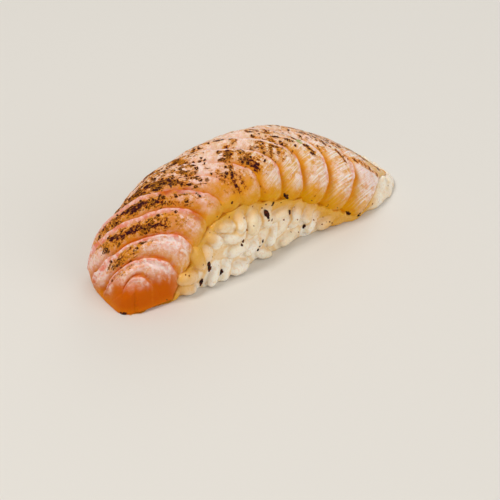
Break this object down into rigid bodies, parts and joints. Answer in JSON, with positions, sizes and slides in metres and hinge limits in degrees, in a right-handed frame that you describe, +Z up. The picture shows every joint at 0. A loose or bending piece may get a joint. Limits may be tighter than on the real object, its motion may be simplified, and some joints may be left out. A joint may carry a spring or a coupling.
{
  "type": "salmon nigiri sushi",
  "caption": "Seared salmon nigiri: one flaky slab of salmon draped over a pressed block of sushi rice that shows along its open side.",
  "frame": {"origin": "centre of the piece's footprint on the surface it stands on", "axes": "+X along the piece from the drooping near end to the thin far end, -Y towards the open side where the rice shows, +Z up"},
  "size_m": [0.0928, 0.0285, 0.0288],
  "materials": {
    "salmon": "seared, moist, softly glossy",
    "rice": "cooked, slightly moist"
  },
  "bodies": {
    "root": {"rice": "rice", "salmon": "salmon"}
  },
  "joints": []
}
